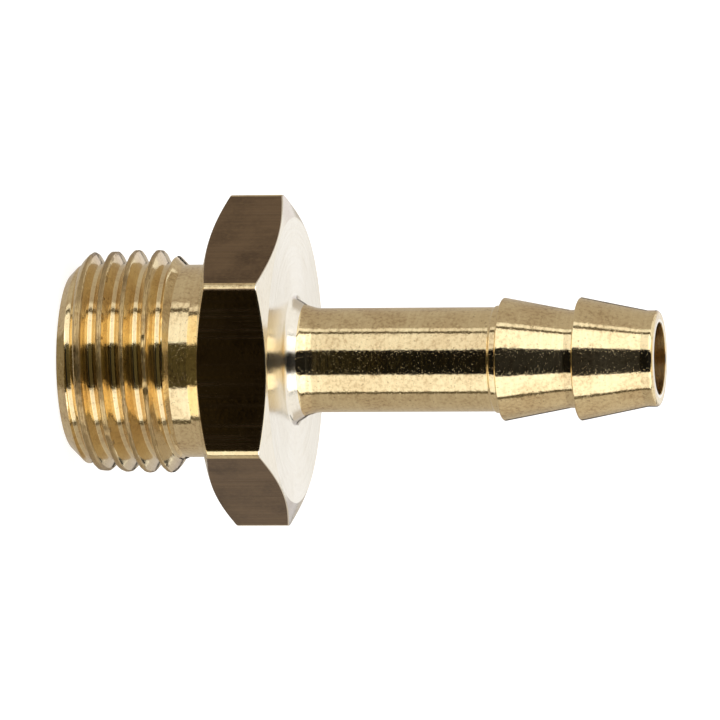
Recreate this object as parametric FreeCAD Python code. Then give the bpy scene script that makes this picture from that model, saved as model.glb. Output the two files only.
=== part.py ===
"""Hose barb tail: a parallel pipe thread, a spanner hexagon and a two-barb hose stem.

The fitting is one bar of free-cutting brass, turned from hexagon stock and
bored through. It stands on its threaded end: Z is the axis of the bore, z = 0
is the flat end of the thread and the hose end points up. Two flats of the
hexagon face +Y and -Y. Lengths are millimetres and angles are degrees.
"""
import FreeCAD
import Part
import math
import os

# Threaded end, from the flat end upwards
THREAD_MAJOR = 13.1       # diameter over the full crests
THREAD_PITCH = 1.337      # nineteen turns to the inch
THREAD_DEPTH = 0.83       # full crest to the bottom of the groove
THREAD_ANGLE = 55.0       # between the two flanks of the groove
THREAD_ROOT_FLAT = 0.28   # width of the narrow bottom of the groove
THREAD_START = 52.0       # where the groove starts, as a turn about Z
LEAD_CHAMFER = 1.21       # bevel of the flat end, along and across
LEAD_LOSS = 0.14          # the first crests come out this much lower
LEAD_LENGTH = 4.3         # height where the crests reach their full diameter
FULL_LENGTH = 1.55        # stretch of full crests above it
RUNOUT_ANGLE = 45.0       # bevel that closes the thread
RELIEF_UNDER = 0.07       # the relief groove lies this far below the thread's root
RELIEF_WIDTH = 2.25       # relief groove, from the closing bevel to the hexagon
RELIEF_TAPER = 1.15       # last stretch of the relief, which widens towards the hexagon
RELIEF_RISE = 0.25        # how much wider its radius is where it meets the hexagon
CUTTER_OVER = 0.05        # the flanks are cut this far past the crest
CUTTER_SHANK = 0.5        # straight part of the cutter outside the crest

# Spanner hexagon
ACROSS_FLATS = 17.0
HEX_WIDTH = 4.2
HEX_CORNER_RADIUS = 0.65  # rounded corners of the drawn bar
HEX_CHAMFER = 22.0        # between the chamfer and the end face
HEX_CHAMFER_START = 0.15  # the chamfers start this far inside the flats

# Hose stem
STEM = 6.1
STEM_FLARE = 0.62         # how much wider the stem's radius is at the hexagon
STEM_FLARE_LENGTH = 1.2   # height over which it narrows
STEM_FLARE_ROUND = 1.5    # round where the flare runs into the stem
STEM_FOOT_ROUND = 0.15    # round between the flare and the hexagon's face
STEM_LENGTH = 12.4        # hexagon to the edge of the first barb
COLLAR_SWELL = 0.09       # slight swell of the stem in front of the first barb
COLLAR_LENGTH = 0.4
COLLAR_BEVEL = 0.1        # slope that leads up to the swell
BARB_HEIGHT = 0.55        # edge of each barb above the stem
BARB_EDGE = 0.07          # worn corner of each barb, along and across
BARB_CONE = 3.95          # long slope of each barb
BARB_NECK = 0.58          # straight neck between the barbs
FIRST_NECK_UNDER = 0.19   # the first slope ends this far below the stem's surface
SECOND_NECK_UNDER = 0.24  # and the second slope this far
NOSE = 0.72               # straight nose in front of the second slope
NOSE_ROUND = 0.22         # rounded rim of the hose end

# Bore
BORE = 4.2
BORE_HOSE_CHAMFER = 0.1
BORE_THREAD_CHAMFER = 0.3

CREST = THREAD_MAJOR / 2
ROOT = CREST - THREAD_DEPTH
RELIEF = ROOT - RELIEF_UNDER
THREAD_TOP = LEAD_LENGTH + FULL_LENGTH
RELIEF_START = THREAD_TOP + (CREST - RELIEF) / math.tan(math.radians(RUNOUT_ANGLE))
HEX_BOTTOM = RELIEF_START + RELIEF_WIDTH
HEX_TOP = HEX_BOTTOM + HEX_WIDTH
FIRST_BARB = HEX_TOP + STEM_LENGTH
SECOND_BARB = FIRST_BARB + BARB_CONE + BARB_NECK
LENGTH = SECOND_BARB + BARB_CONE + NOSE
AXIS = FreeCAD.Vector(0, 0, 1)
ORIGIN = FreeCAD.Vector(0, 0, 0)


def rounded_corner(before, corner, after, radius):
    """Start, middle and end of the arc that rounds one corner of an outline."""
    corner = FreeCAD.Vector(*corner)
    back = FreeCAD.Vector(*before) - corner
    ahead = FreeCAD.Vector(*after) - corner
    half = back.getAngle(ahead) / 2
    reach = min(radius / math.tan(half), 0.45 * back.Length, 0.45 * ahead.Length)
    radius = reach * math.tan(half)
    back.normalize()
    ahead.normalize()
    inward = back + ahead
    inward.normalize()
    middle = corner + inward * (radius / math.sin(half) - radius)
    return corner + back * reach, middle, corner + ahead * reach


def outline(corners):
    """Closed wire through corners given as (point, radius); radius 0 stays sharp."""
    count = len(corners)
    turns = []
    for i, (point, radius) in enumerate(corners):
        if radius > 0:
            turns.append(rounded_corner(corners[i - 1][0], point, corners[(i + 1) % count][0], radius))
        else:
            sharp = FreeCAD.Vector(*point)
            turns.append((sharp, None, sharp))
    edges = []
    for i, (start, middle, end) in enumerate(turns):
        if middle is not None:
            edges.append(Part.Arc(start, middle, end).toShape())
        edges.append(Part.makeLine(end, turns[(i + 1) % count][0]))
    return Part.Wire(edges)


def turned(stations):
    """Solid of revolution about the bore's axis from stations (radius, height, round)."""
    wire = outline([((radius, 0, height), rounding) for radius, height, rounding in stations])
    return Part.Face(wire).revolve(ORIGIN, AXIS, 360)


def blank():
    """Everything the lathe turns round, before the thread is cut and the hole drilled."""
    first_crest = CREST - LEAD_LOSS
    foot = RELIEF + RELIEF_RISE
    stem = STEM / 2
    collar = stem + COLLAR_SWELL
    barb = stem + BARB_HEIGHT
    first_neck = stem - FIRST_NECK_UNDER
    second_neck = stem - SECOND_NECK_UNDER
    return turned([
        (0, 0, 0),
        (first_crest - LEAD_CHAMFER, 0, 0),
        (first_crest, LEAD_CHAMFER, 0),
        (CREST, LEAD_LENGTH, 0),
        (CREST, THREAD_TOP, 0),
        (RELIEF, RELIEF_START, 0),
        (RELIEF, HEX_BOTTOM - RELIEF_TAPER, 0),
        (foot, HEX_BOTTOM, 0),
        (foot, HEX_TOP, 0),
        (stem + STEM_FLARE, HEX_TOP, STEM_FOOT_ROUND),
        (stem, HEX_TOP + STEM_FLARE_LENGTH, STEM_FLARE_ROUND),
        (stem, FIRST_BARB - COLLAR_LENGTH - COLLAR_BEVEL, 0),
        (collar, FIRST_BARB - COLLAR_LENGTH, 0),
        (collar, FIRST_BARB, 0),
        (barb - BARB_EDGE, FIRST_BARB, 0),
        (barb, FIRST_BARB + BARB_EDGE, 0),
        (first_neck, FIRST_BARB + BARB_CONE, 0),
        (first_neck, SECOND_BARB, 0),
        (barb - BARB_EDGE, SECOND_BARB, 0),
        (barb, SECOND_BARB + BARB_EDGE, 0),
        (second_neck, SECOND_BARB + BARB_CONE, 0),
        (second_neck, LENGTH, NOSE_ROUND),
        (0, LENGTH, 0),
    ])


def thread_groove():
    """Right-hand helical V groove, from one turn below the flat end into the relief."""
    slope = math.tan(math.radians(THREAD_ANGLE / 2))
    over = CREST + CUTTER_OVER
    bottom = THREAD_ROOT_FLAT / 2
    half = min(bottom + (over - ROOT) * slope, 0.48 * THREAD_PITCH)
    profile = outline([
        ((over + CUTTER_SHANK, 0, -half), 0),
        ((over, 0, -half), 0),
        ((ROOT, 0, -bottom), 0),
        ((ROOT, 0, bottom), 0),
        ((over, 0, half), 0),
        ((over + CUTTER_SHANK, 0, half), 0),
    ])
    # the last turn ends past the closing bevel, so it leaves the metal by itself
    rise = THREAD_PITCH + RELIEF_START + half
    # one edge a turn keeps each flank a short, simple surface
    helix = Part.makeLongHelix(THREAD_PITCH, rise, ROOT)
    groove = Part.Wire(helix.Edges).makePipeShell([profile], True, True)
    groove.translate(FreeCAD.Vector(0, 0, -THREAD_PITCH))
    groove.rotate(ORIGIN, AXIS, THREAD_START)
    return groove


def hexagon():
    """Spanner hexagon: rounded bar corners, both ends chamfered on the lathe."""
    corner = ACROSS_FLATS / 2 / math.cos(math.radians(30))
    corners = []
    for i in range(6):
        turn = math.radians(60 * i)
        point = (corner * math.cos(turn), corner * math.sin(turn), HEX_BOTTOM)
        corners.append((point, HEX_CORNER_RADIUS))
    bar = Part.Face(outline(corners)).extrude(AXIS * HEX_WIDTH)
    face = ACROSS_FLATS / 2 - HEX_CHAMFER_START
    drop = min((corner - face) * math.tan(math.radians(HEX_CHAMFER)), 0.45 * HEX_WIDTH)
    chamfered = turned([
        (0, HEX_BOTTOM, 0),
        (face, HEX_BOTTOM, 0),
        (corner, HEX_BOTTOM + drop, 0),
        (corner, HEX_TOP - drop, 0),
        (face, HEX_TOP, 0),
        (0, HEX_TOP, 0),
    ])
    return bar.common(chamfered)


def drilled_hole():
    """The bore and the broken edge at each end of it, a little longer than the part."""
    radius = BORE / 2
    past = 1.0
    return turned([
        (0, -past, 0),
        (radius + BORE_THREAD_CHAMFER + past, -past, 0),
        (radius, BORE_THREAD_CHAMFER, 0),
        (radius, LENGTH - BORE_HOSE_CHAMFER, 0),
        (radius + BORE_HOSE_CHAMFER + past, LENGTH + past, 0),
        (0, LENGTH + past, 0),
    ])


def hose_barb_tail():
    """The whole fitting as one solid."""
    threaded = blank().cut(thread_groove())
    with_hexagon = threaded.fuse(hexagon()).removeSplitter()
    finished = with_hexagon.cut(drilled_hole())
    return finished.Solids[0] if len(finished.Solids) == 1 else finished


os.makedirs("parts", exist_ok=True)
part = hose_barb_tail()
print("solids", len(part.Solids), "faces", len(part.Faces), "valid", part.isValid())
print("volume", round(part.Volume, 1), "mm3, length", round(LENGTH, 2), "mm")
part.exportStep("parts/hose_barb_tail.step")
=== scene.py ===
# %% [markdown]
# # A hose barb tail in turned brass
#
# The object is one piece of brass. A lathe turns it from a hexagon bar: a
# parallel pipe thread at one end, a spanner hexagon, and a slim stem with two
# barbs that grip a hose. It could be drawn as a stack of separate cylinders
# and cones, but a real turned part is a single skin, so here it is a single
# closed surface of revolution whose radius is allowed to change with the
# turn wherever the bar stays a hexagon or the cutter leaves a helix.

# %% The frame
import math

import bmesh
import bpy
import numpy as np
from mathutils import Matrix, Vector


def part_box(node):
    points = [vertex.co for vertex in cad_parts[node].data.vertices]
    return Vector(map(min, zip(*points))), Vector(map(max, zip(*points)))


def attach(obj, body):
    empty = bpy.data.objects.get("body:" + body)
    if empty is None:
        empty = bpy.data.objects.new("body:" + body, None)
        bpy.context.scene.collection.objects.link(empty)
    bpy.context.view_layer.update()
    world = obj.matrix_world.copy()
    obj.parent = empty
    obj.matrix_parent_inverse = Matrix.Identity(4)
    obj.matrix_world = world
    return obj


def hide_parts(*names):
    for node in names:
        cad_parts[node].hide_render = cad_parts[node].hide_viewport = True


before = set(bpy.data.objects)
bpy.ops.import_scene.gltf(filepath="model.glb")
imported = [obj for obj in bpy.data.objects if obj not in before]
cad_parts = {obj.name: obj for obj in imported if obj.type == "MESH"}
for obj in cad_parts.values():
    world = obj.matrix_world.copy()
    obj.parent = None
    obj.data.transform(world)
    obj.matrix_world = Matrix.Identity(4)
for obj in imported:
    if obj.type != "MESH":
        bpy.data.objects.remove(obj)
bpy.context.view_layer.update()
NODE = "hose_barb_tail"

# %% [markdown]
# ## The sizes of the turned piece
#
# The scene works in millimetres, as the drawing does, and scales once at the
# end. The overall length and the width across the flats are read from the
# frame, so the dressed piece can't drift away from the solid under it. The
# other sizes are set here once, and the heights along the axis add them up
# from the flat end of the thread.

# %% Driving sizes
MM = 0.001
LOW, HIGH = (np.array(corner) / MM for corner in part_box(NODE))
LENGTH = HIGH[2]
ACROSS_FLATS = HIGH[1] - LOW[1]

CREST = 6.55                # radius over the full crests
THREAD_DEPTH = 0.83
PITCH = 1.337               # nineteen turns to the inch
FLANK = math.radians(27.5)  # each flank from a plane across the axis
ROOT_HALF = 0.14            # half width of the groove's flat bottom
THREAD_START = math.radians(52)
LEAD_CHAMFER = 1.21         # bevel of the flat end, along and across
LEAD_LOSS = 0.14            # the first crests come out this much lower
LEAD_LENGTH = 4.3           # height where the crests are full
FULL_LENGTH = 1.55          # stretch of full crests above it
RELIEF_UNDER = 0.07         # the relief lies this far below the thread's root
RELIEF_WIDTH = 2.25
RELIEF_TAPER = 1.15         # last stretch of the relief, slightly wider
RELIEF_RISE = 0.25

HEX_WIDTH = 4.2
HEX_CHAMFER = math.radians(22)
CHAMFER_INSIDE = 0.15       # the chamfers start this far inside the flats
CORNER_RADIUS = 0.65        # rounded corners of the drawn bar

STEM = 3.05                 # radius of the stem
STEM_LENGTH = 12.4
FLARE = 0.68                # how much wider the stem is at the hexagon
FLARE_WAIST = 0.20          # and where the steep part of the flare ends
FLARE_STEEP = 0.72          # height of the steep part
FLARE_LENGTH = 1.35         # height of the whole flare
COLLAR_SWELL = 0.09         # slight swell in front of the first barb
COLLAR_LENGTH = 0.4
COLLAR_BEVEL = 0.1
BARB_HEIGHT = 0.55          # edge of each barb above the stem
BARB_CONE = 3.95            # long slope of each barb
BARB_NECK = 0.58            # straight neck between the barbs
FIRST_NECK_UNDER = 0.19     # the first slope ends this far below the stem
NOSE_UNDER = 0.24           # and the second slope this far
WORN_EDGE = 0.07            # worn corner of each barb, along and across

BORE = 2.1                  # radius of the bore
BORE_THREAD_CHAMFER = 0.3
BORE_HOSE_CHAMFER = 0.04

ROOT = CREST - THREAD_DEPTH
RELIEF = ROOT - RELIEF_UNDER
THREAD_TOP = LEAD_LENGTH + FULL_LENGTH
RELIEF_START = THREAD_TOP + CREST - RELIEF   # the run-out bevel is as high as it is deep
HEX_BOTTOM = RELIEF_START + RELIEF_WIDTH
HEX_TOP = HEX_BOTTOM + HEX_WIDTH
FIRST_BARB = HEX_TOP + STEM_LENGTH
SECOND_BARB = FIRST_BARB + BARB_CONE + BARB_NECK
print("length", round(LENGTH, 2), "mm, across flats", round(ACROSS_FLATS, 2), "mm")
print("hexagon from", round(HEX_BOTTOM, 3), "to", round(HEX_TOP, 3), "mm")

# %% [markdown]
# ## Columns round the axis
#
# Every row of the skin has one point at each of these azimuths. A plain even
# spacing would step over the small round corners of the bar, so the columns
# are bunched there and spread out over the flats between them.

# %% Azimuths of the columns
CORNER_SPREAD = 2.0         # degrees either side of a corner
CORNER_COLUMNS = 13
FLAT_COLUMNS = 37
SIDES = 6
bunched = np.linspace(-CORNER_SPREAD, CORNER_SPREAD, CORNER_COLUMNS)
spread = np.linspace(CORNER_SPREAD, 60 - CORNER_SPREAD, FLAT_COLUMNS)[1:-1]
sector = np.concatenate([bunched, spread])
TURN = np.radians((sector[None, :] + 60 * np.arange(SIDES)[:, None]).ravel())
COLUMNS = len(TURN)
print("columns", COLUMNS)

# %% [markdown]
# ## The bar's hexagon as a radius
#
# The flats of a hexagon bar lie at a constant distance from the axis, and its
# six corners are small arcs left by the drawing die. Seen from the axis both
# are a radius that depends on the azimuth, so the flats and corners can join
# the same skin as the turned surfaces.

# %% Radius of the bar
def from_corner(turn):
    """Signed angle from the nearest corner; the corners lie at whole sixths of a turn."""
    return (turn + math.pi / 6) % (math.pi / 3) - math.pi / 6


def bar_radius(turn):
    """Distance from the axis to the bar's surface at an azimuth.

    On a flat it is the apothem over the cosine of the angle from the middle
    of the flat; on a corner it is the far crossing of the ray with the arc.
    """
    apothem = ACROSS_FLATS / 2
    off_corner = from_corner(turn)
    flat = apothem / np.cos(math.pi / 6 - np.abs(off_corner))
    centre = (apothem - CORNER_RADIUS) / math.cos(math.pi / 6)
    inside = np.maximum(CORNER_RADIUS ** 2 - (centre * np.sin(off_corner)) ** 2, 0)
    arc = centre * np.cos(off_corner) + np.sqrt(inside)
    tangent = math.atan2(CORNER_RADIUS / 2, centre + CORNER_RADIUS * math.cos(math.pi / 6))
    return np.where(np.abs(off_corner) < tangent, arc, flat)


BAR = bar_radius(TURN)
print("bar radius", round(BAR.min(), 3), "to", round(BAR.max(), 3), "mm")

# %% [markdown]
# ## Turned profiles with broken edges
#
# No edge of a turned part is perfectly sharp, and the small rounds are what
# catches the light. A bevel modifier could make them, but it would also
# touch the thread. Working them out as part of the profile keeps the rows in
# order and the number of faces low.

# %% Rounded corners of a profile
LEG_SHARE = 0.45            # the most of the shorter leg that a round takes
GUARD = 0.03                # distance of a guard row from its round, in mm
GUARD_SHARE = 0.04          # and the most of the shorter leg that it takes


def station(radius, height):
    """One station of the profile as a row of (radius, height), one per column."""
    return np.stack([radius + 0 * TURN, height + 0 * TURN], axis=-1)


def rounded_rows(before, corner, after, rounding, steps):
    """Rows of the arc that rounds one corner.

    The arc touches both legs at the same distance from the corner. It is the
    weighted mean of its start, the corner and its end with the weights of a
    squared blend, the corner's own multiplied by the sine of half the angle.
    A guard row just outside each end keeps the shading of the legs straight.
    """
    back, ahead = before - corner, after - corner
    back_length = np.linalg.norm(back, axis=-1, keepdims=True)
    ahead_length = np.linalg.norm(ahead, axis=-1, keepdims=True)
    shorter = np.minimum(back_length, ahead_length)
    back, ahead = back / back_length, ahead / ahead_length
    half = np.arccos(np.clip((back * ahead).sum(-1, keepdims=True), -1, 1)) / 2
    reach = np.minimum(rounding / np.tan(half), LEG_SHARE * shorter)
    start, end = corner + back * reach, corner + ahead * reach
    guard = np.minimum(GUARD, GUARD_SHARE * shorter)
    rows = [start + back * guard]
    for s in np.linspace(0, 1, steps + 1):
        first, middle, last = (1 - s) ** 2, 2 * s * (1 - s) * np.sin(half), s ** 2
        rows.append((first * start + middle * corner + last * end) / (first + middle + last))
    rows.append(end + ahead * guard)
    return rows


def profile(stations):
    """Rows of a profile and the finish of the strip above each row.

    A station is (radius, height, rounding, steps, finish of what follows).
    """
    corners = [station(radius, height) for radius, height, *_ in stations]
    rows, finishes = [], []
    for i, (_, _, rounding, steps, finish) in enumerate(stations):
        if rounding > 0:
            new = rounded_rows(corners[i - 1], corners[i], corners[i + 1], rounding, steps)
        else:
            new = [corners[i]]
        rows += new
        finishes += [finish] * len(new)
    return np.array(rows), finishes[:-1]


print("guard rows stand at most", GUARD, "mm off a round")

# %% [markdown]
# ## From the relief to the bore's lower end
#
# The profile starts where the thread runs out, goes over the hexagon, up the
# stem and over the two barbs, turns in at the nose and comes down the bore.
# The chamfer of the hexagon is a cone, so its edge rises and falls in the
# familiar scallops wherever it meets a flat. The stem doesn't leave the
# hexagon at a sharp corner: the facing tool leaves a short steep flare, then
# a slow one, and only then the straight stem.

# %% The outline of everything but the thread
# the faced surfaces take the paler brass whose colour is a painted sheen
THREAD, CRESTS, TURNED, FLATS, FACED_SHEEN, DRILLED = range(6)
CHAMFER_START = ACROSS_FLATS / 2 - CHAMFER_INSIDE
SCALLOP = (BAR - CHAMFER_START) * math.tan(HEX_CHAMFER)
COLLAR = STEM + COLLAR_SWELL
BARB = STEM + BARB_HEIGHT
FIRST_NECK = STEM - FIRST_NECK_UNDER
NOSE = STEM - NOSE_UNDER
RIM = 0.5                   # width of the polished rim round the nose

# rounds, in mm
SOFT, KEEN = 0.1, 0.05      # shallow corners, and the foot of a step
RELIEF_ROUND = 0.25         # between the relief and the hexagon
HEX_EDGE = 0.06             # where a chamfer meets a flat
FOOT_ROUND, WAIST_ROUND, FLARE_ROUND = 0.4, 0.5, 1.5   # up the flare
BARB_ROUNDS = (0.08, 0.12)  # the two ends of a barb's worn corner
NOSE_ROUND = 0.22


def barb(start, above, above_height):
    """Stations of one barb: its worn corner, then the foot of its long slope."""
    low_round, high_round = BARB_ROUNDS
    return [
        (BARB - WORN_EDGE, start, low_round, 3, TURNED),
        (BARB, start + WORN_EDGE, high_round, 3, TURNED),
        (above, above_height, SOFT, 3, TURNED),
    ]


body_rows, body_finishes = profile([
    (RELIEF, RELIEF_START, 0, 1, TURNED),
    (RELIEF, HEX_BOTTOM - RELIEF_TAPER, SOFT, 2, TURNED),
    (RELIEF + RELIEF_RISE, HEX_BOTTOM, RELIEF_ROUND, 5, FACED_SHEEN),
    (CHAMFER_START, HEX_BOTTOM, 0, 1, FACED_SHEEN),
    (BAR, HEX_BOTTOM + SCALLOP, HEX_EDGE, 3, FLATS),
    (BAR, HEX_TOP - SCALLOP, HEX_EDGE, 3, FACED_SHEEN),
    (CHAMFER_START, HEX_TOP, SOFT, 2, FACED_SHEEN),
    (STEM + FLARE, HEX_TOP, FOOT_ROUND, 6, FACED_SHEEN),
    (STEM + FLARE_WAIST, HEX_TOP + FLARE_STEEP, WAIST_ROUND, 4, TURNED),
    (STEM, HEX_TOP + FLARE_LENGTH, FLARE_ROUND, 6, TURNED),
    (STEM, FIRST_BARB - COLLAR_LENGTH - COLLAR_BEVEL, SOFT, 2, TURNED),
    (COLLAR, FIRST_BARB - COLLAR_LENGTH, SOFT, 2, TURNED),
    (COLLAR, FIRST_BARB, KEEN, 3, TURNED),
    *barb(FIRST_BARB, FIRST_NECK, FIRST_BARB + BARB_CONE),
    (FIRST_NECK, SECOND_BARB, KEEN, 3, TURNED),
    *barb(SECOND_BARB, NOSE, SECOND_BARB + BARB_CONE),
    (NOSE, LENGTH, NOSE_ROUND, 6, TURNED),
    (NOSE - RIM, LENGTH, 0, 1, FACED_SHEEN),
    (BORE + BORE_HOSE_CHAMFER, LENGTH, 0, 1, DRILLED),
    (BORE, LENGTH - BORE_HOSE_CHAMFER, 0, 1, DRILLED),
    (BORE, BORE_THREAD_CHAMFER, 0, 1, DRILLED),
    (BORE + BORE_THREAD_CHAMFER, 0, 0, 1, FACED_SHEEN),
    (CREST - LEAD_LOSS - LEAD_CHAMFER, 0, 0, 1, FACED_SHEEN),
])
print("profile rows", len(body_rows))

# %% [markdown]
# ## The thread as a sheared grid
#
# A thread can be made with a screw modifier, which leaves open ends that
# never meet the shank cleanly. Here it is the same kind of grid as the rest,
# sheared by one pitch a turn: the last column meets the first one pitch
# higher. The radius is the smaller of the groove's and the blank's, so the
# lead chamfer and the run-out come from the blank, as they do on the lathe.

# %% Groove and blank
GROOVE_ROUND = 0.06         # blend between the groove's bottom and a flank
CREST_HALF = PITCH / 2 - ROOT_HALF - (CREST - ROOT) * math.tan(FLANK)


def smooth_min(a, b, blend):
    """The smaller of two values, less a quarter of the blend times a square.

    The square is that of their nearness, which is one where they are equal
    and falls in a straight line to zero where they lie a blend apart.
    """
    near = np.maximum(blend - np.abs(a - b), 0) / blend
    return np.minimum(a, b) - near ** 2 * blend / 4


def groove_radius(off):
    """Bottom of the groove, then a straight flank, by distance from its middle."""
    flank = ROOT + (np.abs(off) - ROOT_HALF) / math.tan(FLANK)
    return -smooth_min(-flank, -(ROOT + 0 * off), GROOVE_ROUND)


def blank_radius(height):
    """The turned blank by height, in straight lines between its corners.

    They are the lead chamfer, the slightly low first crests, the full crests
    and the run-out bevel.
    """
    heights = (0, LEAD_CHAMFER, LEAD_LENGTH, THREAD_TOP, RELIEF_START)
    first = CREST - LEAD_LOSS
    radii = (first - LEAD_CHAMFER, first, CREST, CREST, RELIEF)
    return np.interp(height, heights, radii)


print("a full crest is", round(2 * CREST_HALF, 3), "mm wide")

# %% [markdown]
# ## Rows of one pitch
#
# A row follows the helix at a fixed distance from the middle of the groove.
# The rows lie close together round the groove's bottom and at the edges of
# the crest, where the surface turns, and far apart on the straight flanks.

# %% Rows along the helix
BOTTOM_ROWS = (0, 0.06, 0.11, 0.13, 0.15, 0.18)
BELOW_EDGE, ABOVE_EDGE = 0.07, 0.05   # stretch of close rows at a crest's edge
half_pitch = PITCH / 2
edge_off = half_pitch - CREST_HALF
one_side = np.concatenate([
    BOTTOM_ROWS,
    np.linspace(BOTTOM_ROWS[-1], edge_off - BELOW_EDGE, 5)[1:],
    np.linspace(edge_off - BELOW_EDGE, edge_off + ABOVE_EDGE, 6)[1:],
    np.linspace(edge_off + ABOVE_EDGE, half_pitch, 3)[1:],
])
OFFSETS = np.concatenate([-one_side[:0:-1], one_side[:-1]])
TURNS = np.arange(-2, 6)    # more turns than the thread has, cut off at its ends
row_turn = np.repeat(TURNS, len(OFFSETS))[:, None]
row_off = np.tile(OFFSETS, len(TURNS))[:, None]
helix = TURN[None, :] + 2 * math.pi * row_turn
thread_height = PITCH * (helix - THREAD_START) / (2 * math.pi) + row_off
thread_height = np.clip(thread_height, 0, RELIEF_START)
print("thread rows", len(row_off), "of which a pitch takes", len(OFFSETS))

# %% [markdown]
# ## Torn crests
#
# A cut crest is never clean: its edges wander, the metal tears, and here and
# there a bit breaks away. A bump could show the torn metal, but not the
# notched edge against the background, so all three move the surface itself,
# where the row is near a crest. The tears and nicks die away at both ends of
# the thread, where the tool enters and leaves the metal.

# %% Irregular waves
PACES = (11.3, 29.9, 61.7, 113.3)   # waves in one turn of the helix
SHARES = (0.35, 0.3, 0.2, 0.15)     # height of each sine
PHASE = 1.7


def waver(s, seed):
    """Irregular wave between -1 and 1: four sines of unrelated pace.

    The seed shifts each sine by its own amount, so another seed is another wave.
    """
    sines = zip(PACES, SHARES)
    return sum(share * np.sin(pace * s + seed * (i + PHASE)) for i, (pace, share) in enumerate(sines))


print("four sines add up to at most", round(sum(SHARES), 3))

# %% Crests with burrs, tears and nicks
BURR = 0.028                # how far the torn crest edges wander, in mm
TEAR = 0.018                # height of the torn metal on the crests
TEAR_MEAN = 0.6             # middle of the tear, as a share of its wave
TEAR_PACE = 40              # how fast the tear changes across the crest
CREST_REACH = 0.1           # the damage starts this far below a crest's edge
CREST_RAMP = 0.08           # and is full this much further on
ENDS = 0.3                  # stretch at either end of the thread where the damage dies away
NICKS = 80                  # small places where the crest broke away
NICK_SEED = 3
NICK_DEPTHS = (0.01, 0.06)
NICK_WIDTHS = (1.2, 2.8)    # degrees of turn
NICKED_LENGTH = 10 * math.pi      # the nicks are spread over five turns of the helix
CHIP_PLACE = math.radians(1360)   # the one badly torn place, as a turn along the helix
CHIP_DEPTH = 0.13
CHIP_WIDTH = 2.6
EDGE_SHARP, EDGE_ROUND = 0.001, 0.1   # blend of groove and blank, at the relief and below it

near_crest = np.clip((np.abs(row_off) - edge_off + CREST_REACH) / CREST_RAMP, 0, 1)
edge_seed = np.where(row_off > 0, 1.0, 2.0)
groove = groove_radius(row_off + BURR * near_crest * waver(helix, edge_seed))

draw = np.random.default_rng(NICK_SEED)
nick_place = np.append(draw.uniform(0, NICKED_LENGTH, NICKS), CHIP_PLACE)
nick_depth = np.append(draw.uniform(*NICK_DEPTHS, NICKS), CHIP_DEPTH)
nick_width = np.radians(np.append(draw.uniform(*NICK_WIDTHS, NICKS), CHIP_WIDTH))
crest_line = helix - 2 * math.pi * (row_off < 0)   # the same all across one crest
nicks = zip(nick_place, nick_depth, nick_width)
nicked = sum(depth * np.exp(-((crest_line - place) / width) ** 2) for place, depth, width in nicks)

fade_in = np.clip(thread_height - ENDS, 0, 1)
fade_out = np.clip((THREAD_TOP + ENDS - thread_height) / ENDS, 0, 1)
tear = TEAR * (TEAR_MEAN + waver(helix, row_off * TEAR_PACE)) + nicked
blank = blank_radius(thread_height) - near_crest * fade_in * fade_out * tear
softness = EDGE_SHARP + EDGE_ROUND * np.clip((RELIEF_START - thread_height) / ENDS, 0, 1)
thread_radius = smooth_min(groove, blank, softness)
print("nicks", len(nick_place), "deepest", round(nick_depth.max(), 3), "mm")

# %% [markdown]
# ## One closed skin
#
# Both grids are turned into points and faces as whole arrays. Rows of the
# thread that fall outside its length have collapsed on the end circles, and
# merging equal points removes them and welds the two grids together.

# %% Points and faces
def grid_faces(rows, columns, first, seam_shift=0):
    """Quads of a grid closed round the axis, and which of them lie inside it.

    A quad joins a point, the next in its row, and the two above them. Across
    the seam the next point lies a number of rows higher, so the last quads
    there would leave the grid.
    """
    row = np.arange(rows - 1)[:, None]
    column = np.arange(columns)[None, :]
    after = (column + 1) % columns
    climb = np.where(column == columns - 1, seam_shift, 0)
    low = row * columns + column
    low_after = (row + climb) * columns + after
    quads = np.stack([low, low_after, low_after + columns, low + columns], axis=-1)
    inside = row + climb < rows - 1
    return first + quads.reshape(-1, 4), inside.ravel()


def grid_points(radius, height):
    """Points in metres: radius times cosine and sine of the azimuth, and the height."""
    x, y = radius * np.cos(TURN), radius * np.sin(TURN)
    return np.stack([x, y, height + 0 * x], axis=-1).reshape(-1, 3) * MM


thread_points = grid_points(thread_radius, thread_height)
body_points = grid_points(body_rows[..., 0], body_rows[..., 1])
thread_quads, kept = grid_faces(len(row_off), COLUMNS, 0, seam_shift=len(OFFSETS))
body_quads, _ = grid_faces(len(body_rows), COLUMNS, len(thread_points))
print("points", len(thread_points), "on the thread and", len(body_points), "on the rest")

# %% [markdown]
# ## Which finish lies where
#
# The profile already says what follows each station. On the thread a face
# belongs to the crest where the blank is lower than the groove; above and
# below the crests such a face is plain turned metal. The dark skin of the bar
# is rubbed off at its corners, a little further at one than at another.

# %% Finish of each face
CREST_LIP = 0.06            # the crest's finish reaches this far down the flank
# degrees either side of each corner between which the bar is rubbed bright
RUBBED = ((-1.7, 1.7), (-1.5, 1.5), (-1.8, 1.8), (-1.6, 1.6), (-1.95, 0.5), (-1.95, 1.95))

first_point = thread_quads[:, 0]
face_height = thread_height.ravel()[first_point]
on_blank = blank.ravel()[first_point] < groove.ravel()[first_point] + CREST_LIP
crest_span = (face_height > LEAD_CHAMFER) & (face_height < THREAD_TOP)
thread_finish = np.where(on_blank, np.where(crest_span, CRESTS, TURNED), THREAD)

corner_of = np.round(TURN / (math.pi / 3)).astype(int) % SIDES
rub_start, rub_end = np.radians(RUBBED)[corner_of].T
rubbed = (from_corner(TURN) > rub_start) & (from_corner(TURN) < rub_end)
body_finish = np.repeat(np.array(body_finishes)[:, None], COLUMNS, axis=1)
body_finish = np.where((body_finish == FLATS) & rubbed, TURNED, body_finish).ravel()

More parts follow.
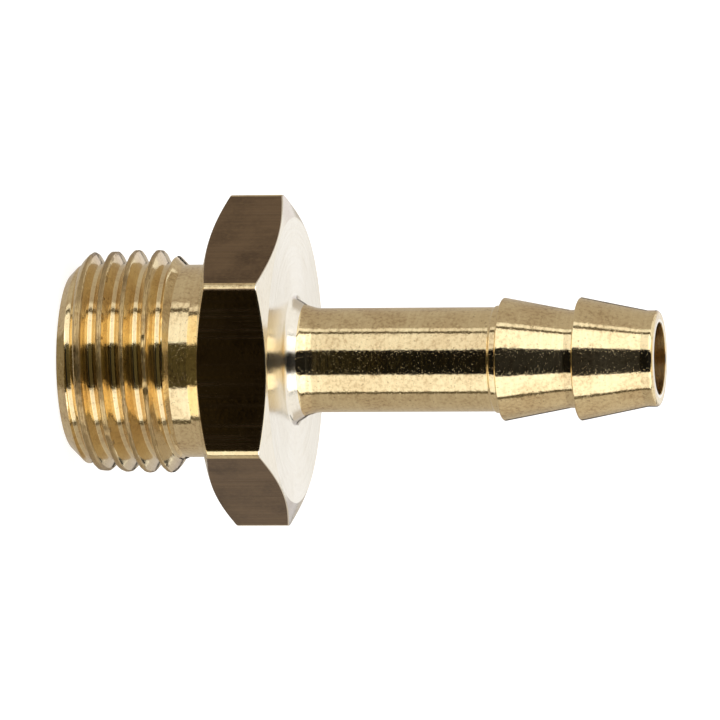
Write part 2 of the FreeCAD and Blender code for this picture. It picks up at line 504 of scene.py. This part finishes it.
vertices = np.concatenate([thread_points, body_points])
quads = np.concatenate([thread_quads[kept], body_quads])
finish = np.concatenate([thread_finish[kept], body_finish])
print("faces of each finish", np.bincount(finish).tolist())

# %% [markdown]
# ## Mesh and frame
#
# The arrays become one mesh object that rides on the part's only body and
# takes the place of its solid. Edges sharper than the small rounds stay sharp.

# %% The mesh
MERGE = 0.0002              # points this near each other are one, in mm
SHARP_EDGE = math.radians(32)
mesh = bpy.data.meshes.new("turned_body")
mesh.from_pydata(vertices, [], quads.tolist())
mesh.polygons.foreach_set("material_index", finish.astype(np.int32))
skin = bmesh.new()
skin.from_mesh(mesh)
bmesh.ops.remove_doubles(skin, verts=skin.verts, dist=MERGE * MM)
bmesh.ops.recalc_face_normals(skin, faces=skin.faces)
skin.to_mesh(mesh)
open_edges = sum(not edge.is_manifold for edge in skin.edges)
enclosed = skin.calc_volume(signed=True) / MM ** 3
skin.free()
mesh.shade_smooth()
mesh.set_sharp_from_angle(angle=SHARP_EDGE)
mesh.calc_loop_triangles()
print("open edges", open_edges, "volume mm3", round(enclosed, 1))
print("triangles", len(mesh.loop_triangles))

tail = bpy.data.objects.new("turned_body", mesh)
bpy.context.scene.collection.objects.link(tail)
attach(tail, "root")
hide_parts(NODE)

# %% [markdown]
# ## Helpers for materials
#
# A procedural material is a chain of small nodes. Written out one by one they
# hide what the finish is, so each kind of node used here gets a function that
# takes outputs or plain values and gives back its own output.

# %% Node helpers
def link(tree, source, target):
    """Joins an output to an input."""
    tree.links.new(source, target)


def math_node(tree, operation, first, second):
    """A Math node on one output and a number or another output."""
    node = tree.nodes.new("ShaderNodeMath")
    node.operation = operation
    link(tree, first, node.inputs[0])
    if isinstance(second, (int, float)):
        node.inputs[1].default_value = second
    else:
        link(tree, second, node.inputs[1])
    return node.outputs[0]


def product(tree, first, second):
    """First times second."""
    return math_node(tree, "MULTIPLY", first, second)


def total(tree, first, second):
    """First plus second."""
    return math_node(tree, "ADD", first, second)


def noise(tree, vector, scale, detail=2.0, stretch=(1, 1, 1)):
    """Noise on a vector in millimetres, stretched along its axes first."""
    wide = tree.nodes.new("ShaderNodeVectorMath")
    wide.operation = "MULTIPLY"
    link(tree, vector, wide.inputs[0])
    wide.inputs[1].default_value = stretch
    node = tree.nodes.new("ShaderNodeTexNoise")
    node.inputs["Scale"].default_value = scale
    node.inputs["Detail"].default_value = detail
    link(tree, wide.outputs[0], node.inputs["Vector"])
    return node.outputs["Fac"]


def span(tree, value, low, high, to_low, to_high):
    """Maps low..high of a value to another range and stops at its ends."""
    node = tree.nodes.new("ShaderNodeMapRange")
    link(tree, value, node.inputs["Value"])
    for name, number in zip(("From Min", "From Max", "To Min", "To Max"), (low, high, to_low, to_high)):
        node.inputs[name].default_value = number
    return node.outputs["Result"]


def mixed(tree, share, first, second):
    """Mix of two colours; each is a colour or an output."""
    node = tree.nodes.new("ShaderNodeMix")
    node.data_type = "RGBA"
    link(tree, share, node.inputs[0])
    for socket, value in zip((node.inputs[6], node.inputs[7]), (first, second)):
        if isinstance(value, tuple):
            socket.default_value = (*value, 1)
        else:
            link(tree, value, socket)
    return node.outputs[2]


print("node helpers ready")

# %% [markdown]
# ## Tool marks
#
# The rings of a turned surface are too fine to model. They are a bump of a
# few microns that depends on the radius and the height only, with a slow
# change round the axis so that no ring is perfect. The drawn flats use the
# plain position instead, stretched along the bar. A finer grain and a few
# specks stand in for the crystals of the metal.

# %% The relief of a finish
# scale per millimetre and detail of each noise
FIELDS = {"grain": (4.5, 3), "fine": (12, 2), "patches": (0.42, 4), "mottle": (4.5, 4), "stains": (6, 3)}
MARK_DETAIL = 4
RING_DRIFT = 0.03           # how slowly a ring changes round the axis
DRAWN_STRETCH = 0.02        # and a drawn line along the bar
GRAIN_PATCHES = (0.4, 0.6, 0.6, 1.3)
SPECKS = (0.65, 0.76)       # the fine noise between them rises into a speck
SPECK_SHARE, FINE_SHARE = 0.9, 0.25   # heights as shares of the grain's


def cylinder_place(tree, here):
    """Radius and height of a point, with a slow drift round the axis."""
    parts = tree.nodes.new("ShaderNodeSeparateXYZ")
    link(tree, here, parts.inputs[0])
    x, y, z = parts.outputs
    squares = total(tree, product(tree, x, x), product(tree, y, y))
    place = tree.nodes.new("ShaderNodeCombineXYZ")
    link(tree, math_node(tree, "SQRT", squares, 0), place.inputs[0])
    link(tree, z, place.inputs[1])
    link(tree, total(tree, x, y), place.inputs[2])
    return place.outputs[0]


def tool_lines(tree, here, marks, ringed):
    """Noise that runs in rings round the axis, or in lines along the bar."""
    if ringed:
        return noise(tree, cylinder_place(tree, here), marks, MARK_DETAIL, (1, 1, RING_DRIFT))
    return noise(tree, here, marks, MARK_DETAIL, (1, 1, DRAWN_STRETCH))


def relief(tree, lines, fields, mark_depth, grain_depth):
    """Height in mm: tool marks, fine grain and specks, and coarse grain in patches."""
    coarse = product(tree, fields["grain"], grain_depth)
    coarse = product(tree, coarse, span(tree, fields["patches"], *GRAIN_PATCHES))
    specks = span(tree, fields["fine"], *SPECKS, 0, grain_depth * SPECK_SHARE)
    height = product(tree, lines, mark_depth)
    height = total(tree, height, product(tree, fields["fine"], grain_depth * FINE_SHARE))
    height = total(tree, height, specks)
    return total(tree, height, coarse)


print("noises of a finish", sorted(FIELDS))

# %% [markdown]
# ## Tarnish and stains
#
# Clean brass is pale gold. It dulls in patches and along the tool marks, and
# small brown mottles and dark stains lie on top of that. A painted map would
# need a picture, so the same noises that shape the relief choose the colours.

# %% The colour of a finish
STAIN = (0.22, 0.15, 0.07)
BROWN = (0.47, 0.33, 0.17)
DULLED = (0.42, 0.66, 0, 0.7)     # patches to share of the dull colour
MARKED = (0.35, 0.7, 0, 0.4)      # tool marks to share of the dull colour
MOTTLED = (0.45, 0.72)
MOTTLE_PATCHES = (0.38, 0.58, 0.35, 1.3)
STAINED = (0.62, 0.72)


def tarnish(tree, lines, fields, clean, dull, mottling, dirt):
    """Clean metal mixed with the dull colour, then with brown, then with the stain's."""
    dulled = mixed(tree, span(tree, fields["patches"], *DULLED), clean, dull)
    lined = mixed(tree, span(tree, lines, *MARKED), dulled, dull)
    mottles = span(tree, fields["mottle"], *MOTTLED, 0, mottling)
    mottles = product(tree, mottles, span(tree, fields["patches"], *MOTTLE_PATCHES))
    mottled = mixed(tree, mottles, lined, BROWN)
    return mixed(tree, span(tree, fields["stains"], *STAINED, 0, dirt), mottled, STAIN)


print("tarnish goes from clean to", BROWN, "and", STAIN)

# %% [markdown]
# ## The brasses
#
# One metal, six surfaces. What tells them apart is what touched them last:
# the thread tool, the roughing tool on the crests, the finishing tool, the
# drawing die on the flats, the facing tool and the drill. The faced surfaces
# are also given a paler, whiter brass, which is painted sheen: the white that
# brass shows at a grazing angle, put into its colour. The flats keep the
# dark skin of the drawn bar, except at its corners, which are rubbed bright.
# Turned metal smears a highlight across its rings, which is anisotropy.

# %% Six finishes
MARK_ROUGHNESS = (0.3, 0.7)       # tool marks between them set the roughness
CLEAN, DULL = (0.86, 0.71, 0.42), (0.70, 0.53, 0.29)
CREST_BROWN, CREST_DARK = (0.58, 0.43, 0.21), (0.20, 0.13, 0.06)
SKIN, SKIN_DARK = (0.225, 0.15, 0.085), (0.09, 0.055, 0.03)
# paler, whiter brass for the faced surfaces: painted sheen, the white of a grazing reflection put into
# the colour
PALE_SHEEN, PALE_SHEEN_DULL = (0.89, 0.83, 0.72), (0.84, 0.77, 0.64)
DRILLED_BRASS = (0.70, 0.50, 0.22)


def brass(name, clean, dull, roughness, marks, mark_depth, grain_depth, mottling, dirt,
          ringed=True, smear=0.0, evenness=(0.75, 1.35)):
    """Brass finish: tool marks and grain as bump in mm, tarnish and stains in colour."""
    material = bpy.data.materials.new(name)
    material.use_nodes = True
    tree = material.node_tree
    shader = tree.nodes["Principled BSDF"]
    shader.inputs["Metallic"].default_value = 1
    scaled = tree.nodes.new("ShaderNodeVectorMath")
    scaled.operation = "SCALE"
    link(tree, tree.nodes.new("ShaderNodeTexCoord").outputs["Object"], scaled.inputs[0])
    scaled.inputs["Scale"].default_value = 1 / MM
    here = scaled.outputs[0]
    lines = tool_lines(tree, here, marks, ringed)
    fields = {field: noise(tree, here, scale, detail) for field, (scale, detail) in FIELDS.items()}
    bump = tree.nodes.new("ShaderNodeBump")
    bump.inputs["Strength"].default_value = 1
    bump.inputs["Distance"].default_value = MM
    link(tree, relief(tree, lines, fields, mark_depth, grain_depth), bump.inputs["Height"])
    link(tree, bump.outputs[0], shader.inputs["Normal"])
    link(tree, tarnish(tree, lines, fields, clean, dull, mottling, dirt), shader.inputs["Base Color"])
    uneven = product(tree, span(tree, lines, *MARK_ROUGHNESS, *evenness), roughness)
    link(tree, uneven, shader.inputs["Roughness"])
    if smear:
        tangent = tree.nodes.new("ShaderNodeTangent")
        tangent.direction_type = "RADIAL"
        tangent.axis = "Z"
        link(tree, tangent.outputs[0], shader.inputs["Tangent"])
        shader.inputs["Anisotropic"].default_value = smear
        shader.inputs["Anisotropic Rotation"].default_value = 0.25
    return material


finishes = [
    brass("thread_flank_brass", CLEAN, DULL, roughness=0.12, marks=6, mark_depth=0.0016,
          grain_depth=0.0020, mottling=0.30, dirt=0.4, smear=0.5),
    brass("torn_crest_brass", CREST_BROWN, CREST_DARK, roughness=0.30, marks=9, mark_depth=0.0040,
          grain_depth=0.0180, mottling=0.60, dirt=0.9, smear=0.3),
    brass("fine_turned_brass", CLEAN, DULL, roughness=0.09, marks=6, mark_depth=0.0008,
          grain_depth=0.0040, mottling=0.60, dirt=0.5, smear=0.5),
    brass("drawn_bar_brass", SKIN, SKIN_DARK, roughness=0.17, marks=5, mark_depth=0.0022,
          grain_depth=0.0035, mottling=0.12, dirt=0.2, ringed=False, evenness=(0.45, 1.8)),
    # faced surfaces: their pale colours are painted sheen, not the metal's own colour
    brass("faced_brass_painted_sheen", PALE_SHEEN, PALE_SHEEN_DULL, roughness=0.18, marks=6, mark_depth=0.0006,
          grain_depth=0.0010, mottling=0.08, dirt=0.1, smear=0.8),
    brass("drilled_brass", DRILLED_BRASS, DULL, roughness=0.20, marks=3, mark_depth=0.0060,
          grain_depth=0.0030, mottling=0.30, dirt=0.4, smear=0.6),
]
for material in finishes:
    mesh.materials.append(material)
print("finishes", [material.name for material in finishes])

# %% [markdown]
# ## The camera
#
# The photograph was taken with a long lens from a little towards the hose
# end. The piece lies along the picture, but here it stands on its thread, so
# the camera is rolled a quarter turn and the axis runs from left to right.

# %% Camera
NEAR_SIDE = math.radians(266)     # azimuth of the camera
LIFT = math.radians(11)           # towards the hose end
ROLL = math.radians(0.289)
AIM = Vector((0, 0, 17.04)) * MM
DISTANCE = 585 * MM
LENS, SENSOR = 500.2, 36
near = Vector((math.cos(NEAR_SIDE), math.sin(NEAR_SIDE), 0))
axis = Vector((0, 0, 1))
behind = near * math.cos(LIFT) + axis * math.sin(LIFT)
level_right = (axis - behind * axis.dot(behind)).normalized()
level_up = behind.cross(level_right)
right = level_right * math.cos(ROLL) - level_up * math.sin(ROLL)
up = level_right * math.sin(ROLL) + level_up * math.cos(ROLL)
lens = bpy.data.cameras.new("studio_camera")
lens.lens = LENS
lens.sensor_width = SENSOR
lens.clip_start = 0.05
lens.clip_end = 50
camera = bpy.data.objects.new("studio_camera", lens)
facing = Matrix((right, up, behind)).transposed().to_4x4()
camera.matrix_world = Matrix.Translation(AIM + behind * DISTANCE) @ facing
bpy.context.scene.collection.objects.link(camera)
bpy.context.scene.camera = camera
bpy.context.scene.view_settings.view_transform = "Standard"
print("camera at", [round(v, 3) for v in camera.matrix_world.translation])

# %% [markdown]
# ## Cards round the piece
#
# Polished metal has no look of its own: it shows what stands round it. The
# photograph's bands tell what that was. A black card hangs in front, with a
# bright soft panel on each side of it, then a narrow dark gap, and warm grey
# walls further round with a skylight over them. Behind the piece two black
# rails draw the thin dark line along its edges. Each card is a strip of a
# cylinder about the piece, so one function of azimuth and height makes them.
# Lamps would do for matt things, but their small hot spots look wrong here.

# %% Card surfaces
CARD_DISTANCE = 300 * MM
CARD_STEP = 3                     # degrees between the edges of a card's faces
GLOW_FOOT, GLOW_HEAD = -30, 100   # heights between which a card's level changes
WHITE = (1, 1, 1)
hung = []


def glow(name, tint, low_level, high_level):
    """Plain lit material whose level rises over the working height of a card."""
    material = bpy.data.materials.new(name)
    material.use_nodes = True
    tree = material.node_tree
    tree.nodes.clear()
    lamp = tree.nodes.new("ShaderNodeEmission")
    lamp.inputs["Color"].default_value = (*tint, 1)
    parts = tree.nodes.new("ShaderNodeSeparateXYZ")
    link(tree, tree.nodes.new("ShaderNodeTexCoord").outputs["Object"], parts.inputs[0])
    level = span(tree, parts.outputs[2], GLOW_FOOT * MM, GLOW_HEAD * MM, low_level, high_level)
    link(tree, level, lamp.inputs["Strength"])
    output = tree.nodes.new("ShaderNodeOutputMaterial")
    link(tree, lamp.outputs[0], output.inputs["Surface"])
    return material


def hang(name, places, faces, material):
    """Puts a card in the scene, unseen by the camera and casting no shadow."""
    sheet = bpy.data.meshes.new(name)
    sheet.from_pydata(places, [], faces)
    sheet.materials.append(material)
    panel = bpy.data.objects.new(name, sheet)
    panel.visible_camera = False
    panel.visible_shadow = False
    bpy.context.scene.collection.objects.link(panel)
    hung.append(name)


def card(name, turns, heights, level, tint=WHITE, head_level=None):
    """Strip of a cylinder about the axis: azimuth from the camera by height."""
    start, end = turns
    steps = max(2, int((end - start) / CARD_STEP))
    around = NEAR_SIDE + np.radians(np.linspace(start, end, steps))
    turn_grid, height_grid = np.meshgrid(around, np.array(heights) * MM)
    x, y = CARD_DISTANCE * np.cos(turn_grid), CARD_DISTANCE * np.sin(turn_grid)
    places = np.stack([x, y, height_grid], axis=-1).reshape(-1, 3)
    first = np.arange(steps - 1)
    faces = np.stack([first, first + 1, first + 1 + steps, first + steps], axis=-1)
    head = level if head_level is None else head_level
    hang(name, places, faces.tolist(), glow(name, tint, level, head))


def plate(name, reach, height, level, tint=WHITE):
    """Level rectangle over or under the piece, by its reach to the camera, away and aside."""
    front, back, half_width = reach
    ahead = np.array([math.cos(NEAR_SIDE), math.sin(NEAR_SIDE)])
    aside = np.array([-ahead[1], ahead[0]])
    ends = ((front, half_width), (front, -half_width), (-back, -half_width), (-back, half_width))
    flat = [ahead * along + aside * across for along, across in ends]
    places = [(x * MM, y * MM, height * MM) for x, y in flat]
    hang(name, places, [(0, 1, 2, 3)], glow(name, tint, level, level))


print("cards hang", round(CARD_DISTANCE / MM), "mm from the axis")

# %% [markdown]
# ## Where each card hangs
#
# An azimuth is in degrees from the camera's and grows towards the bottom of
# the picture. A height is in millimetres above the floor end of the piece:
# the stem shows what hangs a little below it, a barb's slope what hangs
# above, and the flanks of the thread what lies far above and far below.

# %% Places, tints and levels
FOOT, HEAD, BLACK_TOP = -800, 400, 800
CARD_LOW, NECK_LOW, NECK_HIGH = -49, 94, 112   # the front card changes at these heights
LOW_PANEL, SOFT_PANEL, UPPER_PANEL, TOP_PANEL = -170, -60, 60, 115
SKYLINE = 140                     # the skylights start here
BACK_HEAD = 125                   # and the pale cards behind end here
RAIL_LOW, RAIL_HIGH = -20, 40
CEILING = BLACK_TOP + 5           # just over the black card's top
ALL_ROUND = (310, 310, 310)       # reach of a plate towards the camera, away and aside
WARM_GREY = (1.0, 0.91, 0.80)
COOL_GREY = (1.0, 0.96, 0.98)
AMBER = (1.0, 0.85, 0.58)
OLIVE = (1.0, 0.84, 0.38)
WALL, SHADE, BLACK, GAP, SKY = 0.54, 0.10, 0.03, 0.13, 1.05
PANEL_HEAD, PANEL_FOOT_GAIN = 1.6, 0.2
FRONT, LEFT, RIGHT = (-21.5, 33), (-59.5, -21.5), (33, 74.5)
LEFT_GAP, LEFT_STRIP, LEFT_SIDE = (-65.5, -59.5), (-73, -65.5), (202, 287)
RIGHT_GAP, RIGHT_SIDE = (74.5, 81), (81, 150)
RIGHT_EDGE, RIGHT_RAIL, BACK, LEFT_RAIL = (150, 158), (158, 171), (171, 190), (190, 202)
RIGHT_BACK = (RIGHT_EDGE[0], RIGHT_RAIL[1])
print("black card over", FRONT[1] - FRONT[0], "degrees")

# %% The cards in front
card("black_card", FRONT, (CARD_LOW, NECK_LOW), 0.006, head_level=0.022)
card("black_card_neck", FRONT, (NECK_LOW, NECK_HIGH), 0.045)
card("black_card_head", FRONT, (NECK_HIGH, BLACK_TOP), 0.012)
plate("black_card_top", (305, 60, 130), BLACK_TOP, BLACK)
plate("warm_ceiling", ALL_ROUND, CEILING, 1.15, AMBER)
card("black_card_foot", FRONT, (FOOT, CARD_LOW), SHADE, OLIVE)
for side, turns, lit in (("left", LEFT, 1.12), ("right", RIGHT, 1.3)):
    card(side + "_panel_foot", turns, (FOOT, LOW_PANEL), lit + PANEL_FOOT_GAIN, AMBER)
    card(side + "_low_panel", turns, (LOW_PANEL, SOFT_PANEL), 1.4)
    card(side + "_soft_panel", turns, (SOFT_PANEL, 0), lit, head_level=PANEL_HEAD)
    card(side + "_middle_panel", turns, (0, UPPER_PANEL), 1.75)
    card(side + "_upper_panel", turns, (UPPER_PANEL, TOP_PANEL), lit, head_level=PANEL_HEAD)
    card(side + "_top_panel", turns, (TOP_PANEL, HEAD), 2.2)
card("left_gap", LEFT_GAP, (FOOT, HEAD), GAP, AMBER)
card("left_strip", LEFT_STRIP, (FOOT, HEAD), 1.1, head_level=1.3)
card("right_gap", RIGHT_GAP, (FOOT, HEAD), GAP, AMBER)
print("cards in front", len(hung))

# %% The cards at the sides and behind
card("right_wall", RIGHT_SIDE, (FOOT, 25), WALL, WARM_GREY)
card("right_upper_wall", RIGHT_SIDE, (25, SKYLINE), 0.66, WARM_GREY)
card("left_wall", LEFT_SIDE, (FOOT, 85), WALL, WARM_GREY)
card("left_upper_wall", LEFT_SIDE, (85, SKYLINE), 0.60, WARM_GREY)
card("right_skylight", RIGHT_SIDE, (SKYLINE, HEAD), SKY)
card("left_skylight", LEFT_SIDE, (SKYLINE, HEAD), SKY)
card("back_wall", BACK, (FOOT, 45), WALL, WARM_GREY)
card("right_back_foot", RIGHT_BACK, (FOOT, RAIL_LOW), WALL, WARM_GREY)
card("right_rail", RIGHT_RAIL, (RAIL_LOW, RAIL_HIGH), BLACK)
card("right_back_side", RIGHT_EDGE, (RAIL_LOW, RAIL_HIGH), WALL, WARM_GREY)
card("right_back_head", RIGHT_BACK, (RAIL_HIGH, BACK_HEAD), 0.62, COOL_GREY)
card("left_back_foot", LEFT_RAIL, (FOOT, -5), WALL, WARM_GREY)
card("left_rail", LEFT_RAIL, (-5, 30), BLACK)
card("left_back_head", LEFT_RAIL, (30, BACK_HEAD), 0.85, COOL_GREY)
card("right_flag", RIGHT_EDGE, (BACK_HEAD, 205), BLACK)
plate("ground", ALL_ROUND, FOOT, 0.28, AMBER)
print("cards and plates", len(hung))

# %% [markdown]
# ## The room
#
# The background of the photograph is plain white. The world gives the camera
# and the mirror-like metal that white, and lights matt things a little less.

# %% World
def seen_share(tree):
    """One for rays from the camera, from gloss or through glass, and zero for the rest."""
    ray = tree.nodes.new("ShaderNodeLightPath")
    seen = math_node(tree, "MAXIMUM", ray.outputs["Is Camera Ray"], ray.outputs["Is Glossy Ray"])
    return math_node(tree, "MAXIMUM", seen, ray.outputs["Is Transmission Ray"])


ROOM_LIGHT, ROOM_WHITE = 0.8, 1.0
world = bpy.data.worlds.new("white_room")
bpy.context.scene.world = world
world.use_nodes = True
room = world.node_tree
backdrop = room.nodes["Background"]
backdrop.inputs["Color"].default_value = (*WHITE, 1)
link(room, span(room, seen_share(room), 0, 1, ROOM_LIGHT, ROOM_WHITE), backdrop.inputs["Strength"])
print("world", world.name, "lights at", ROOM_LIGHT)

# %% [markdown]
# ## The floor
#
# The piece stands on a plain pale floor that runs back to the white world. In
# the picture both are plain white, so the floor gives the camera its white
# and keeps a little of its own shading, which is where the shadow shows.

# %% Floor
FLOOR_REACH = 6.0
FLOOR_GREY, FLOOR_LIFT = 0.5, 0.78
floor_mesh = bpy.data.meshes.new("pale_floor")
corners = [(-FLOOR_REACH, -FLOOR_REACH, 0), (FLOOR_REACH, -FLOOR_REACH, 0),
           (FLOOR_REACH, FLOOR_REACH, 0), (-FLOOR_REACH, FLOOR_REACH, 0)]
floor_mesh.from_pydata(corners, [], [(0, 1, 2, 3)])
paint = bpy.data.materials.new("pale_floor_paint")
paint.use_nodes = True
tree = paint.node_tree
tree.nodes.clear()
matt = tree.nodes.new("ShaderNodeBsdfDiffuse")
matt.inputs["Color"].default_value = (FLOOR_GREY, FLOOR_GREY, FLOOR_GREY, 1)
lift = tree.nodes.new("ShaderNodeEmission")
link(tree, product(tree, seen_share(tree), FLOOR_LIFT), lift.inputs["Strength"])
both = tree.nodes.new("ShaderNodeAddShader")
link(tree, matt.outputs[0], both.inputs[0])
link(tree, lift.outputs[0], both.inputs[1])
output = tree.nodes.new("ShaderNodeOutputMaterial")
link(tree, both.outputs[0], output.inputs["Surface"])
floor_mesh.materials.append(paint)
floor = bpy.data.objects.new("pale_floor", floor_mesh)
floor.visible_glossy = False
bpy.context.scene.collection.objects.link(floor)
print("floor", round(2 * FLOOR_REACH), "m wide")
